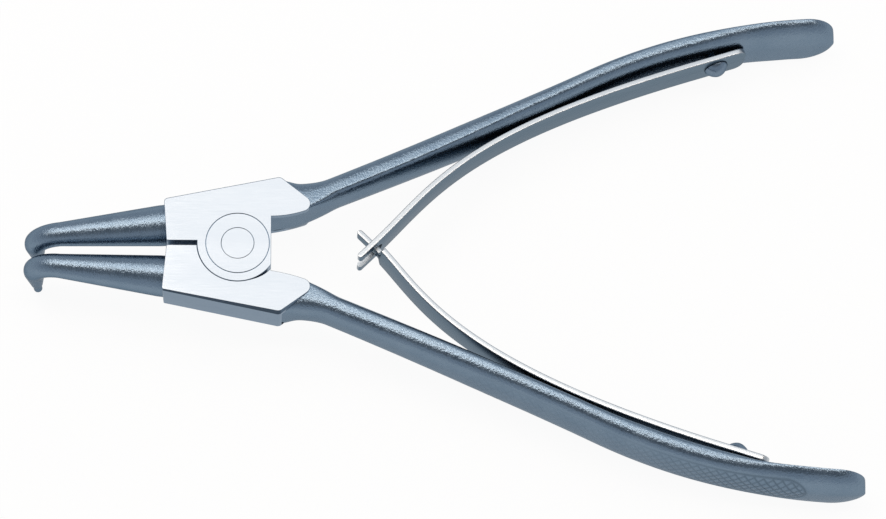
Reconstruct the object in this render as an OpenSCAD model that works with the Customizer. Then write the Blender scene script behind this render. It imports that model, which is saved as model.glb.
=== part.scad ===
// Circlip pliers for external rings, with tips bent square to the jaws.
// Origin on the pivot axis at the ground upper face of the head, +X to the
// handles, +Y to the upper lever, +Z along the pivot, tips pointing to -Z.

/* [Head] */
// Thickness of the head between its two ground faces
head_t = 10; // [8:0.5:13]
// Distance from the pivot forward to the front edge at the slot
head_front = 14.4; // [13:0.2:17]
// Half height of the head at its front corner
head_front_h = 9.5; // [9:0.1:12]
// Distance from the pivot back to the rear shoulder
head_rear = 8.6; // [8:0.2:12]
// Half height of the head at its rear shoulder
head_rear_h = 14.5; // [13.5:0.1:17]
// Gap between the two halves ahead of the pivot
slot_gap = 1; // [0.8:0.1:1.6]
// Diameter of the round bosses that lap at the pivot
boss_d = 16.4; // [15:0.2:17.6]
// Diameter of the ring line cut in the upper boss
ring_d = 12.9; // [10:0.1:14]

/* [Pivot] */
// Shank diameter of the pivot rivet
pivot_d = 5.4; // [4:0.1:6]
// Diameter of the flush countersunk heads of the pivot rivet
pivot_head_d = 6.6; // [6.4:0.1:8]

/* [Jaws] */
// Distance from the pivot forward to the tip axis
jaw_reach = 41.7; // [38:0.1:52]
// Jaw diameter where the bend begins
jaw_bend_d = 5; // [4.2:0.1:5.4]
// Radius of the bend along the jaw's centre line
bend_r = 5.5; // [4.5:0.1:7]
// Gap between the two jaws at the bend
tip_gap = 1.3; // [1.2:0.1:3]
// Depth of the tip ends below the middle of the head
tip_drop = 15.6; // [14:0.1:24]
// Diameter of the tip pins that enter the ring's holes
pin_d = 1.8; // [1.3:0.1:2.2]
// Length of the tip pins
pin_len = 3; // [2.4:0.1:4]

/* [Handles] */
// Angle of the handles to the centre line where they leave the head
handle_angle = 22.3; // [20:0.1:26]
// Length of the lightly hollowed front part of a handle
shank_len = 71; // [60:1:80]
// Length of the bowed grip part of a handle
grip_len = 55.6; // [48:0.2:65]
// Handle width along Z at the grip
grip_w = 13; // [11:0.1:15]
// Handle thickness at its neck
neck_t = 5.4; // [4.6:0.1:6]
// Handle thickness at the end of the grip
grip_t = 4.5; // [3.8:0.1:5.4]

/* [Springs] */
// Thickness of the leaf springs
spring_t = 1.2; // [0.8:0.1:1.5]
// Width of the leaf springs along Z
spring_w = 8; // [6:0.1:9]
// Distance from the pivot back to the crossing of the springs
cross_x = 28; // [25:0.2:31]
// Angle of each spring to the centre line at the crossing
cross_angle = 45; // [40:1:52]
// Length of spring beyond the crossing
spring_over = 4.7; // [3.6:0.1:7]
// Distance from the handle's end forward to the spring rivet
seat_back = 27; // [25:0.5:34]
// Head diameter of the spring rivets
stud_head_d = 4.8; // [4:0.1:5.5]

/* [Clearances] */
// Axial gap between the lapped halves
lap_gap = 0.06; // [0.04:0.01:0.1]
// Radial gap around each boss
boss_gap = 0.25; // [0.2:0.05:0.4]
// Radial play of the pivot rivet in the lever that turns on it
pivot_play = 0.04; // [0.02:0.01:0.08]
// Gap on each side of the tongue in the fork of the springs
fork_gap = 0.4; // [0.3:0.05:0.6]

/* [Hidden] */
$fn = 72;
mid_z = -head_t / 2;
slot_y = slot_gap / 2;
boss_r = boss_d / 2;
// Flat on the back of each boss
boss_flat = boss_r * 0.83;
front_rake = 0.7;
// Heel: the ground face runs back over the root of the handle as a thin step
heel_y = boss_r * 0.72;
heel_x = head_rear + 6.15;
heel_h = heel_y + (head_rear_h - heel_y) * 0.45;
heel_r = 1.7;
heel_step = 1.2;
// Outer wall: how far it stands out, its draft above and its chamfer below
wall_out = 0.8;
wall_fall = 2.2;
wall_break = 0.5;
pivot_r = pivot_d / 2;
sink_h = pivot_head_d - pivot_d;
ring_w = 0.3;
ring_deep = 0.25;
// Jaw path in the upright plane that holds both its root and its tip
jaw_root_d = min(head_t * 0.84, head_front_h - slot_y - 0.6);
tip_offset = jaw_bend_d * 0.45 + tip_gap / 2;
jaw_root_x = -head_front - 0.1;
jaw_root_y = head_front_h - jaw_root_d / 2 + 0.3;
jaw_dx = -jaw_reach - jaw_root_x;
jaw_dy = tip_offset - jaw_root_y;
jaw_run = norm([jaw_dx, jaw_dy]);
jaw_dir = [jaw_dx, jaw_dy, 0] / jaw_run;
jaw_side = [-jaw_dir[1], jaw_dir[0], 0];
jaw_straight = jaw_run - bend_r;
bend_len = bend_r * PI / 2;
tip_len = tip_drop - pin_len - bend_r;
jaw_len = jaw_straight + bend_len + tip_len;
shoulder_d = pin_d + 0.5;
jaw_sides = 24;
pin_chamfer = 0.35;
// Handle path: a hollow arc, then a bowed one
handle_start = [head_rear - 0.4, (head_rear_h + heel_y) / 2 - 2.07, handle_angle];
shank_turn = 3.7;
grip_turn = 25.2;
handle_segs = [[shank_len, shank_turn], [grip_len, -grip_turn]];
handle_len = shank_len + grip_len;
neck_w = head_t * 0.9;
root_w = head_t - neck_w - 0.6;
root_in = 1.2;
root_back = 2.5;
end_r = grip_w * 0.52;
handle_sides = 32;
flare_len = 12;
flare_t = 2.8;
slim_t = 0.25;
// Springs
stud_d = stud_head_d * 0.55;
stud_head_h = stud_head_d * 0.45;
stud_deep = grip_t * 0.62;
seat_s = handle_len - seat_back;
// The spring lies as a chord under the bowed grip and meets it at its end
seat_fore = 4;
seat_aft = 6.5;
seat_lift = 4.8;
seat_gap = seat_aft * sin(seat_lift) + pow(seat_aft, 2) * grip_turn * PI / 360 / grip_len + 0.06;
seat_round = 2;
tongue_w = spring_w * 0.34;
fork_w = tongue_w + 2 * fork_gap;
fork_root = 1.7;
// The springs meet a little to the upper side of the centre line
cross_y = 0.9;
spring_steps = 30;

satin = [0.53, 0.58, 0.63];
blued = [0.46, 0.5, 0.55];
bright = [0.72, 0.74, 0.76];

// Pose [x, y, heading] after one arc of given length and turn
function arc_step(p, l, turn) =
    abs(turn) < 0.001
    ? [p[0] + l * cos(p[2]), p[1] + l * sin(p[2]), p[2]]
    : let (r = l / (turn * PI / 180), h = p[2] + turn)
      [p[0] + r * (sin(h) - sin(p[2])), p[1] - r * (cos(h) - cos(p[2])), h];

// Pose at distance s along a chain of arcs
function along(p, segs, s, i = 0) =
    i == len(segs) - 1 || s <= segs[i][0]
    ? arc_step(p, s, segs[i][1] * s / segs[i][0])
    : along(arc_step(p, segs[i][0], segs[i][1]), segs, s - segs[i][0], i + 1);

function smooth(a, b, x) = let (t = min(1, max(0, (x - a) / (b - a)))) t * t * (3 - 2 * t);

function mix(a, b, t) = a + (b - a) * t;

function spow(c, e) = sign(c) * pow(abs(c), e);

// Handle width, inner and outer half thickness at distance s
function end_fade(s) = sqrt(max(0.02, 1 - pow(max(0, s - handle_len + end_r) / end_r, 2)));
function handle_w(s) =
    (mix(neck_w, grip_w, smooth(4, 62, s)) + root_w * (1 - smooth(0, 12, s))) * end_fade(s);
function handle_t(s) = mix(neck_t, grip_t, smooth(20, handle_len, s));
function inner_t(s) = handle_t(s) / 2 * mix(0.6, 1, end_fade(s)) - root_in * (1 - smooth(-3.5, 4.5, s));
function outer_t(s) = inner_t(s) + flare_t * (1 - smooth(0, flare_len, s)) - slim_t * smooth(40, 70, s);

// How far the crest on the upper or lower side of the section lies off the
// middle: along the grip the upper one moves outward and the lower one inward
function crest(s, up) =
    inner_t(s) * (up ? mix(-0.26, 0.52, smooth(30, 95, s)) : mix(-0.12, -0.38, smooth(50, 95, s)));

// Bluntness of the section: square at the root, rounder along the handle
function blunt(s, run) = mix(7, 3, smooth(run / 4, run, s));

// Closed section of the handle, a rounded blade a little askew
function handle_ring(s) =
    let (p = along(handle_start, handle_segs, s), w = handle_w(s) / 2)
    [for (i = [0:handle_sides - 1])
        let (
            a = 360 * (i + 0.5) / handle_sides,
            e = 2 / blunt(s, cos(a) > 0 ? 7 : 13),
            c = crest(s, sin(a) > 0),
            u = c + spow(cos(a), e) * (cos(a) > 0 ? outer_t(s) - c : inner_t(s) + c)
        )
        [p[0] - sin(p[2]) * u, p[1] + cos(p[2]) * u, spow(sin(a), e) * w]];

// Jaw diameter at distance s along its path
function jaw_diameter(s) = lookup(s, [
    [0, jaw_root_d + 0.1],
    [1.6, jaw_root_d],
    [jaw_straight, jaw_bend_d],
    [jaw_straight + bend_len * 0.8, jaw_bend_d * 0.95],
    [jaw_len, shoulder_d]]);

// Angle turned through in the bend
function jaw_turn(s) = 90 * min(1, max(0, (s - jaw_straight) / bend_len));

// Centre of the jaw at distance s
function jaw_point(s) =
    let (
        q = jaw_turn(s),
        run = min(s, jaw_straight) + bend_r * sin(q),
        drop = bend_r * (1 - cos(q)) + max(0, s - jaw_straight - bend_len)
    )
    [jaw_root_x, jaw_root_y, 0] + jaw_dir * run - [0, 0, drop];

function jaw_ring(s) =
    let (
        c = jaw_point(s),
        q = jaw_turn(s),
        up = jaw_dir * sin(q) + [0, 0, cos(q)],
        r = jaw_diameter(s) / 2
    )
    [for (i = [0:jaw_sides - 1])
        let (a = 360 * (i + 0.5) / jaw_sides)
        c + jaw_side * r * cos(a) + up * r * sin(a)];

// Skin over a list of closed rings with flat ends
module loft(rings) {
    n = len(rings[0]);
    m = len(rings);
    polyhedron(
        points = [for (r = rings) each r],
        faces = concat(
            [[for (i = [0:n - 1]) i]],
            [for (j = [0:m - 2]) for (i = [0:n - 1])
                [j * n + i, (j + 1) * n + i, (j + 1) * n + (i + 1) % n, j * n + (i + 1) % n]],
            [[for (i = [0:n - 1]) m * n - 1 - i]]));
}

module jaw() {
    stations = concat(
        [0, 1.6],
        [for (i = [1:4]) 1.6 + (jaw_straight - 1.6) * i / 4],
        [for (i = [1:10]) jaw_straight + bend_len * i / 10],
        [for (i = [1:3]) jaw_straight + bend_len + tip_len * i / 3]);
    union() {
        loft([for (s = stations) jaw_ring(s)]);
        translate([-jaw_reach, tip_offset, -tip_drop + pin_chamfer])
            cylinder(d = pin_d, h = pin_len);
        translate([-jaw_reach, tip_offset, -tip_drop])
            cylinder(d1 = pin_d - 2 * pin_chamfer, d2 = pin_d, h = pin_chamfer);
    }
}

module handle() {
    stations = concat(
        [for (i = [0:9]) -root_back + (flare_len + root_back) * i / 9],
        [for (i = [1:22]) flare_len + (handle_len - end_r - flare_len) * i / 22],
        [for (i = [1:7]) handle_len - end_r + end_r * sin(90 * i / 7)]);
    loft([for (s = stations) handle_ring(s)]);
}

// Plan of one half of the head as far back as its rear shoulder
brow = [-head_front - front_rake, head_front_h];
shoulder = [head_rear, head_rear_h];

module head_plan() {
    polygon([
        [-head_front, slot_y],
        brow,
        shoulder,
        [boss_flat, heel_y],
        [boss_flat, slot_y]]);
}

// Outer wall from brow to shoulder: drafted above, chamfered below
module head_wall() {
    h = head_t / 2;
    run = shoulder - brow;
    translate([brow[0], brow[1], 0])
        rotate([0, 0, atan2(run[1], run[0])])
            rotate([90, 0, 90])
                linear_extrude(norm(run))
                    polygon([
                        [-1, h],
                        [0, h],
                        [wall_out, h - wall_fall],
                        [wall_out, wall_break * 0.55 - h],
                        [wall_out - wall_break, -h],
                        [-1, -h]]);
}

// Plan of the heel behind the shoulder, with its inner edge moved by d
module heel_plan(d) {
    c = [heel_x - heel_r, heel_h - 0.8 + d];
    a = atan2(heel_x - head_rear, head_rear_h - heel_h);
    polygon([
        [boss_flat, heel_y],
        [boss_flat, heel_h],
        [head_rear, head_rear_h],
        c + heel_r * [sin(90 - a), cos(90 - a)],
        c,
        c + heel_r * [sin(14), -cos(14)],
        [head_rear + 1.6, heel_y + 0.5 + d],
        [head_rear, heel_y + 0.2 + d / 2]]);
    translate(c)
        circle(r = heel_r, $fn = 32);
}

// Half head: a block whose outer wall falls away to both faces, and a heel
// on each ground face
module half_head() {
    translate([0, 0, -head_t / 2])
        linear_extrude(head_t)
            head_plan();
    head_wall();
    for (k = [-1, 1])
        translate([0, 0, k * (head_t - heel_step) / 2])
            linear_extrude(heel_step, center = true)
                heel_plan(-0.25 * k);
}

// Boss with its rear flat, from the lap plane to the outer face
module boss() {
    difference() {
        translate([0, 0, lap_gap / 2])
            cylinder(r = boss_r, h = head_t / 2 - lap_gap / 2);
        translate([boss_flat, -boss_d, -head_t])
            cube([boss_d, 2 * boss_d, 2 * head_t]);
    }
}

// Place of the spring rivet: a little off the handle's inner face
function seat_pose() =
    let (p = along(handle_start, handle_segs, seat_s), u = inner_t(seat_s) + seat_gap)
    [p[0] + sin(p[2]) * u, p[1] - cos(p[2]) * u, p[2] + seat_lift];

// Local axes at the seat: +X along the handle, +Z away from the handle
module at_seat() {
    p = seat_pose();
    translate([p[0], p[1], 0])
        rotate([0, 0, p[2]])
            rotate([90, 0, 0])
                children();
}

// Half head, boss and handle of the upper lever about the middle plane
module lever_body(play) {
    difference() {
        union() {
            difference() {
                union() {
                    half_head();
                    handle();
                }
                translate([0, 0, -head_t])
                    cylinder(r = boss_r + boss_gap, h = head_t + lap_gap / 2);
            }
            boss();
        }
        translate([0, 0, -head_t])
            cylinder(r = pivot_r + play, h = 2 * head_t);
        translate([0, 0, head_t / 2 - sink_h])
            cylinder(r1 = pivot_r + play, r2 = pivot_head_d / 2 + play + 0.1, h = sink_h + 0.2);
        at_seat()
            translate([0, 0, -stud_deep - seat_gap])
                cylinder(d = stud_d, h = stud_deep + seat_gap + 1);
    }
}

module ring_line() {
    rotate_extrude()
        translate([ring_d / 2 - ring_w / 2, head_t / 2 - ring_deep])
            square([ring_w, 2 * ring_deep]);
}

module upper_lever() {
    color(satin)
        translate([0, 0, mid_z]) {
            difference() {
                lever_body(pivot_play);
                ring_line();
            }
            jaw();
        }
}

module lower_lever() {
    color(satin)
        translate([0, 0, mid_z]) {
            rotate([180, 0, 0])
                lever_body(0);
            mirror([0, 1, 0])
                jaw();
        }
}

module pivot_rivet() {
    color(bright)
        translate([0, 0, mid_z])
            rotate_extrude()
                polygon([
                    [0, -head_t / 2],
                    [pivot_head_d / 2, -head_t / 2],
                    [pivot_r, -head_t / 2 + sink_h],
                    [pivot_r, head_t / 2 - sink_h],
                    [pivot_head_d / 2, head_t / 2],
                    [0, head_t / 2]]);
}

// Centre line of the free part of a spring: from its seat to the crossing
seat = seat_pose();
seat_n = [sin(seat[2]), -cos(seat[2])];
seat_d = [cos(seat[2]), sin(seat[2])];
free_0 = [seat[0], seat[1]] + seat_n * spring_t / 2 - seat_d * seat_fore;
free_d = [cos(cross_angle), sin(cross_angle)];

// Control points, for a spring with its crossing raised by y and its bow
// set by the shares a and b of its span
function free_path(y, a, b) =
    let (end = [cross_x, y], span = norm(free_0 - end))
    [free_0, free_0 - seat_d * span * a, end + free_d * span * b, end];

upper_path = free_path(cross_y, 0.68, 0.22);
lower_path = free_path(-cross_y, 0.73, 0.16);

function bez(p, t) =
    p[0] * pow(1 - t, 3) + p[1] * 3 * t * pow(1 - t, 2)
    + p[2] * 3 * t * t * (1 - t) + p[3] * pow(t, 3);

function bez_dir(p, t) =
    let (d = (p[1] - p[0]) * pow(1 - t, 2) + (p[2] - p[1]) * 2 * t * (1 - t)
        + (p[3] - p[2]) * t * t)
    d / norm(d);

function bez_side(p, t, o) = let (d = bez_dir(p, t)) bez(p, t) + [-d[1], d[0]] * o;

module spring_plan(p) {
    tip = p[3] - free_d * (spring_over - spring_t / 2);
    side = [-free_d[1], free_d[0]] * spring_t / 2;
    back = seat_d * 0.5;
    across = [-seat_d[1], seat_d[0]] * spring_t / 2;
    polygon(concat(
        [free_0 + back - across],
        [for (i = [0:spring_steps]) bez_side(p, i / spring_steps, spring_t / 2)],
        [tip - side, tip + side],
        [for (i = [0:spring_steps]) bez_side(p, 1 - i / spring_steps, -spring_t / 2)],
        [free_0 + back + across]));
    translate(tip)
        circle(d = spring_t, $fn = 24);
}

// Rounded end of the strip that lies on the handle
module seat_plan() {
    h = spring_w / 2;
    translate([-seat_fore, -h])
        square([seat_fore + seat_aft - seat_round, spring_w]);
    translate([-seat_fore, -h + seat_round])
        square([seat_fore + seat_aft, spring_w - 2 * seat_round]);
    for (s = [-1, 1])
        translate([seat_aft - seat_round, s * (h - seat_round)])
            circle(r = seat_round, $fn = 32);
}

module spring_blank(p) {
    difference() {
        union() {
            translate([0, 0, -spring_w / 2])
                linear_extrude(spring_w)
                    spring_plan(p);
            at_seat()
                linear_extrude(spring_t)
                    seat_plan();
        }
        at_seat()
            translate([0, 0, -1])
                cylinder(d = stud_d, h = spring_t + 2);
    }
}

// Box over the free end of a spring, along its line at the crossing
module free_end(p, w) {
    translate([p[3][0], p[3][1], 0])
        rotate([0, 0, cross_angle])
            translate([-spring_over - spring_t, -spring_w / 2, -w / 2])
                cube([spring_over + spring_t + fork_root, spring_w, w]);
}

module upper_spring() {
    color(blued)
        translate([0, 0, mid_z])
            difference() {
                spring_blank(upper_path);
                free_end(upper_path, fork_w);
            }
}

module lower_spring() {
    color(blued)
        translate([0, 0, mid_z])
            mirror([0, 1, 0])
                difference() {
                    spring_blank(lower_path);
                    difference() {
                        free_end(lower_path, 2 * spring_w);
                        free_end(lower_path, tongue_w);
                    }
                }
}

// Domed rivet that holds a spring to its handle
module stud() {
    cap = stud_head_d / 2;
    ball = (cap * cap + stud_head_h * stud_head_h) / (2 * stud_head_h);
    at_seat() {
        translate([0, 0, -stud_deep - seat_gap])
            cylinder(d = stud_d, h = stud_deep + seat_gap + spring_t + 0.2);
        translate([0, 0, spring_t])
            intersection() {
                translate([0, 0, stud_head_h - ball])
                    sphere(r = ball);
                cylinder(r = cap, h = stud_head_h);
            }
    }
}

module upper_spring_rivet() {
    color(bright)
        translate([0, 0, mid_z])
            stud();
}

module lower_spring_rivet() {
    color(bright)
        translate([0, 0, mid_z])
            mirror([0, 1, 0])
                stud();
}

lower_lever();
upper_lever();
pivot_rivet();
lower_spring();
upper_spring();
lower_spring_rivet();
upper_spring_rivet();
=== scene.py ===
import math

import bmesh
import bpy
import numpy as np
from mathutils import Matrix, Vector
from mathutils.geometry import tessellate_polygon


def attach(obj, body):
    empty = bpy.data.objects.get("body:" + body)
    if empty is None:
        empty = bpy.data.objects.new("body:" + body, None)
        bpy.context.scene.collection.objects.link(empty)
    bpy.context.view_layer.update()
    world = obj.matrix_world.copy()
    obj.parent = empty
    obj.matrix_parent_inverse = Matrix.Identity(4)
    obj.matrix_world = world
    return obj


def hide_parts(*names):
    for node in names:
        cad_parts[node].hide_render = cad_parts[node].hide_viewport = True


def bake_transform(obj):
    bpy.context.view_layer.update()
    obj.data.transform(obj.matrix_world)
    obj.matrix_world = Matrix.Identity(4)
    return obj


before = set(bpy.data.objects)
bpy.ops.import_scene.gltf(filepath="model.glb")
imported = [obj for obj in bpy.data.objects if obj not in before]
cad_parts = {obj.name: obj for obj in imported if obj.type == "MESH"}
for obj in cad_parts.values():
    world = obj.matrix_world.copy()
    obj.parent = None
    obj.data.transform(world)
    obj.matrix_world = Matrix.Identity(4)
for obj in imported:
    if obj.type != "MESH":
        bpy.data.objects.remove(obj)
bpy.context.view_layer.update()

# Sizes in millimetres and degrees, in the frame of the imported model: origin on
# the pivot axis at the upper ground face, +X to the handles, +Y to the upper lever.
MM = 0.001
UP = np.array([0, 0, 1.0])

# Head and pivot
HEAD_T = 10.0
MID_Z = -HEAD_T / 2
SLOT_Y = 0.5
HEAD_FRONT = 14.4
FRONT_RAKE = 0.7
HEAD_FRONT_H = 9.5
HEAD_REAR = 8.6
HEAD_REAR_H = 14.5
BOSS_R = 8.2
BOSS_FLAT = BOSS_R * 0.83
BOSS_GAP = 0.25
LAP_GAP = 0.06
HEEL_Y = BOSS_R * 0.72
HEEL_X = HEAD_REAR + 6.15
HEEL_H = HEEL_Y + (HEAD_REAR_H - HEEL_Y) * 0.45
HEEL_R = 1.7
HEEL_STEP = 1.2
PIVOT_R = 2.7
PIVOT_HEAD_R = 3.3
SINK_H = 1.2
RING_R = 6.45
RING_W = 0.2
RING_DEEP = 0.25

# Jaw
JAW_ROOT_D = 8.4
JAW_ROOT = np.array([-HEAD_FRONT - 0.1, HEAD_FRONT_H - JAW_ROOT_D / 2 + 0.3])
JAW_TIP = np.array([-41.7, 2.9])
JAW_BEND_D = 4.96
BEND_R = 5.5
TIP_DROP = 15.6
PIN_D = 1.8
PIN_LEN = 3.0

# Handle: x, y and heading of its root, then the two arcs of its centre line
HANDLE_START = (HEAD_REAR - 0.4, (HEAD_REAR_H + HEEL_Y) / 2 - 2.07, 22.3)
SHANK_LEN, SHANK_TURN = 71.0, 3.7
GRIP_LEN, GRIP_TURN = 55.6, -25.2
HANDLE_LEN = SHANK_LEN + GRIP_LEN
NECK_W, GRIP_W = 9.0, 12.95
NECK_T, GRIP_T = 5.4, 4.5
ROOT_W, ROOT_IN, ROOT_BACK, ROOT_FILL = 0.4, 1.2, 2.5, 1.2
END_R = 6.76
FLARE_LEN, FLARE_T, SLIM_T = 12.0, 2.8, 0.27

# Springs and their rivets
SPRING_T, SPRING_W = 1.2, 8.0
CROSS_X, CROSS_Y, CROSS_ANGLE, SPRING_OVER = 28.0, 0.9, 45.0, 4.7
CROSS_WAY = np.array([math.cos(math.radians(CROSS_ANGLE)), math.sin(math.radians(CROSS_ANGLE))])
SEAT_S, SEAT_FORE, SEAT_AFT, SEAT_LIFT = HANDLE_LEN - 27.0, 4.0, 6.5, 4.8
SEAT_ROUND = 2.0
SEAT_GAP = (SEAT_AFT * math.sin(math.radians(SEAT_LIFT))
            - SEAT_AFT ** 2 * math.radians(GRIP_TURN) / 2 / GRIP_LEN + 0.06)
TONGUE_W = SPRING_W * 0.34
FORK_W = TONGUE_W + 0.8
FORK_ROOT = 1.7
STUD_HEAD_D = 5.2
STUD_D = STUD_HEAD_D * 0.55
STUD_HEAD_H = 2.1
STUD_DEEP = GRIP_T * 0.62


# Colour and node helpers

def linear(code):
    """An sRGB hex colour as linear red, green, blue and 1."""
    c = np.array([int(code[i:i + 2], 16) for i in (1, 3, 5)]) / 255
    return (*np.where(c <= 0.04045, c / 12.92, ((c + 0.055) / 1.055) ** 2.4).tolist(), 1.0)


def add(tree, kind, inputs=None, **settings):
    """Adds a node, sets its properties, and sets or links each named input."""
    made = tree.nodes.new(kind)
    for key, value in settings.items():
        setattr(made, key, value)
    for key, value in (inputs or {}).items():
        if isinstance(value, bpy.types.NodeSocket):
            tree.links.new(value, made.inputs[key])
        else:
            made.inputs[key].default_value = value
    return made


def new_material(name):
    """A material with an empty node tree, and that tree."""
    made = bpy.data.materials.new(name)
    made.use_nodes = True
    made.node_tree.nodes.clear()
    return made, made.node_tree


def per_mm(size):
    """Noise scale, in features per metre, for a feature of that many millimetres."""
    return 1000.0 / size


# Size of the plating's clouds, and the range of cloud and grain together
CLOUD_MM = 6.0
CLOUD_LOW, CLOUD_HIGH = 0.7, 1.3


def steel(name, dark, light, rough, grain_mm, bump_mm, strength,
          stretch=(1, 1, 1), coords="Object", edge=None, painted_groove_shade=None):
    """Metal whose colour and roughness wander between two values with a cloudy
    noise, and whose skin is pitted by a grain noise of the given size.  The
    coordinates are divided by stretch, so that a long direction draws lines.
    Where the hatch attribute is 1, the colour is a darker painted shade that stands in for shade in
    the grooves."""
    made, tree = new_material(name)
    if coords == "Object":
        where = add(tree, "ShaderNodeTexCoord").outputs["Object"]
    else:
        where = add(tree, "ShaderNodeAttribute", attribute_name=coords).outputs["Vector"]
    laid = add(tree, "ShaderNodeMapping",
               {"Vector": where, "Scale": tuple(1 / k for k in stretch)}).outputs[0]
    cloud = add(tree, "ShaderNodeTexNoise",
                {"Vector": laid, "Scale": per_mm(CLOUD_MM), "Detail": 3.0}).outputs["Fac"]
    grain = add(tree, "ShaderNodeTexNoise",
                {"Vector": laid, "Scale": per_mm(grain_mm), "Detail": 2.0,
                 "Roughness": 0.55}).outputs["Fac"]
    both = add(tree, "ShaderNodeMath", {0: cloud, 1: grain}, operation="ADD").outputs[0]
    spread = {"Value": both, "From Min": CLOUD_LOW, "From Max": CLOUD_HIGH}
    share = add(tree, "ShaderNodeMapRange", spread).outputs[0]
    colour = add(tree, "ShaderNodeMix", {0: share, 6: linear(dark), 7: linear(light)},
                 data_type="RGBA").outputs[2]
    # Painted shade: the colour is drawn towards a darker tone where the hatch grooves lie
    if painted_groove_shade:
        groove_shade_share = add(tree, "ShaderNodeAttribute", attribute_name="hatch").outputs["Fac"]
        colour = add(tree, "ShaderNodeMix", {0: groove_shade_share, 6: colour, 7: linear(painted_groove_shade)},
                     data_type="RGBA").outputs[2]
    gloss = add(tree, "ShaderNodeMapRange",
                {**spread, "To Min": rough[0], "To Max": rough[1]}).outputs[0]
    bump = add(tree, "ShaderNodeBump",
               {"Height": grain, "Strength": strength, "Distance": bump_mm * MM}).outputs[0]
    shader = add(tree, "ShaderNodeBsdfPrincipled",
                 {"Base Color": colour, "Roughness": gloss, "Metallic": 1.0, "Normal": bump})
    if edge:
        shader.inputs["Specular Tint"].default_value = linear(edge)
    add(tree, "ShaderNodeOutputMaterial", {"Surface": shader.outputs[0]})
    return made


# Drop-forged handle, blasted and satin plated: a blue-grey skin with fine pits
# that break the highlight along its crest into sparkle.  The pits are drawn
# coarser than real ones, so that they show.  The grooves of the cross-hatch
# are darkened with a painted shade.
FORGED = steel("plated_forged_steel", "#6B7D8E", "#778898", (0.22, 0.32), 0.42, 0.08, 1.0,
               edge="#C6CBD0", painted_groove_shade="#4E5D6B")
# Turned and plated jaws: the same plating, with short marks round the jaw that
# are also drawn coarser than real ones.
TURNED = steel("plated_turned_steel", "#6F8192", "#7A8B9B", (0.22, 0.32), 0.3, 0.09, 1.0,
               stretch=(0.65, 1.8, 1.8), edge="#AEB4BA")
# Milled and plated sides of the head: smooth, with faint lengthwise streaks.
MILLED = steel("plated_milled_steel", "#6B7E90", "#758798", (0.18, 0.26), 0.5, 0.006, 0.4,
               stretch=(9, 1, 1), edge="#E8ECF0")
# Faces ground flat after forging: nearly a mirror, with the faintest grinding
# lines, drawn coarser than real ones.
GROUND = steel("ground_polished_steel", "#CDD2D7", "#D3D7DB", (0.08, 0.12), 0.35, 0.002, 0.2,
               stretch=(14, 1, 1))
# Rolled spring strip, satin plated: smooth faces drawn lengthwise.
STRIP = steel("rolled_spring_strip", "#697986", "#72828F", (0.24, 0.32), 0.35, 0.006, 0.35,
              stretch=(16, 1, 1), coords="strip", edge="#C4C9CE")
# Sheared and tumbled edges of the strip: bright, a little wavy.
STRIP_EDGE = steel("tumbled_strip_edge", "#B0B6BB", "#B8BEC3", (0.28, 0.32), 0.5, 0.002, 0.3,
                   stretch=(16, 1, 1), coords="strip")
# Upset rivet heads: plated, with the marks of the setting tool.
RIVET = steel("upset_rivet_steel", "#677889", "#778797", (0.22, 0.34), 0.8, 0.05, 0.6,
              edge="#AEB4BA")


# Mesh helpers.  Crease angles, past which an edge is drawn sharp
CREASE, STRIP_CREASE, PIVOT_CREASE = 35.0, 50.0, 20.0


def ring_quads(upper, lower):
    """Quads between two closed rings given by their point numbers."""
    return np.stack([upper, np.roll(upper, -1), np.roll(lower, -1), lower], -1)


def tube(grid):
    """Skin of a carried profile: neighbouring rings joined all round by quads,
    and each end closed by a fan to the middle of its ring."""
    rows, cols = grid.shape[:2]
    numbers = np.arange(rows * cols).reshape(rows, cols)
    quads = np.concatenate([ring_quads(a, b) for a, b in zip(numbers[:-1], numbers[1:])])
    points = np.vstack([grid.reshape(-1, 3), grid[0].mean(0), grid[-1].mean(0)])
    first, last = rows * cols, rows * cols + 1
    ends = [np.stack([np.full(cols, middle), ring, np.roll(ring, -1)], -1)
            for middle, ring in ((first, numbers[0]), (last, numbers[-1]))]
    return points, quads.tolist() + ends[0].tolist() + ends[1].tolist()


def on_corners(mesh, name, kind, slot, values):
    """Stores a value per point on the face corners, where a Boolean carries it along."""
    at = np.zeros(len(mesh.loops), np.int32)
    mesh.loops.foreach_get("vertex_index", at)
    stored = mesh.attributes.new(name, kind, "CORNER")
    stored.data.foreach_set(slot, values.astype(np.float32)[at].ravel())


def outward(mesh):
    """Turns every face of a closed mesh outward and sets it smooth."""
    work = bmesh.new()
    work.from_mesh(mesh)
    bmesh.ops.recalc_face_normals(work, faces=work.faces[:])
    work.to_mesh(mesh)
    work.free()
    mesh.polygons.foreach_set("use_smooth", np.ones(len(mesh.polygons), bool))
    mesh.update()


def creased(mesh, crease):
    """Marks sharp the edges over the crease angle, and those between a face in
    the mesh's first finish and one in another."""
    mesh.set_sharp_from_angle(angle=math.radians(crease))
    finish = np.zeros(len(mesh.polygons), np.int32)
    corners = np.zeros(len(mesh.polygons), np.int32)
    edges = np.zeros(len(mesh.loops), np.int32)
    mesh.polygons.foreach_get("material_index", finish)
    mesh.polygons.foreach_get("loop_total", corners)
    mesh.loops.foreach_get("edge_index", edges)
    least = np.full(len(mesh.edges), len(mesh.materials))
    most = np.zeros(len(mesh.edges), int)
    np.minimum.at(least, edges, np.repeat(finish, corners))
    np.maximum.at(most, edges, np.repeat(finish, corners))
    marks = (mesh.attributes.get("sharp_edge")
             or mesh.attributes.new("sharp_edge", "BOOLEAN", "EDGE"))
    sharp = np.zeros(len(mesh.edges), bool)
    marks.data.foreach_get("value", sharp)
    marks.data.foreach_set("value", sharp | ((least == 0) & (most > 0)))


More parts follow.
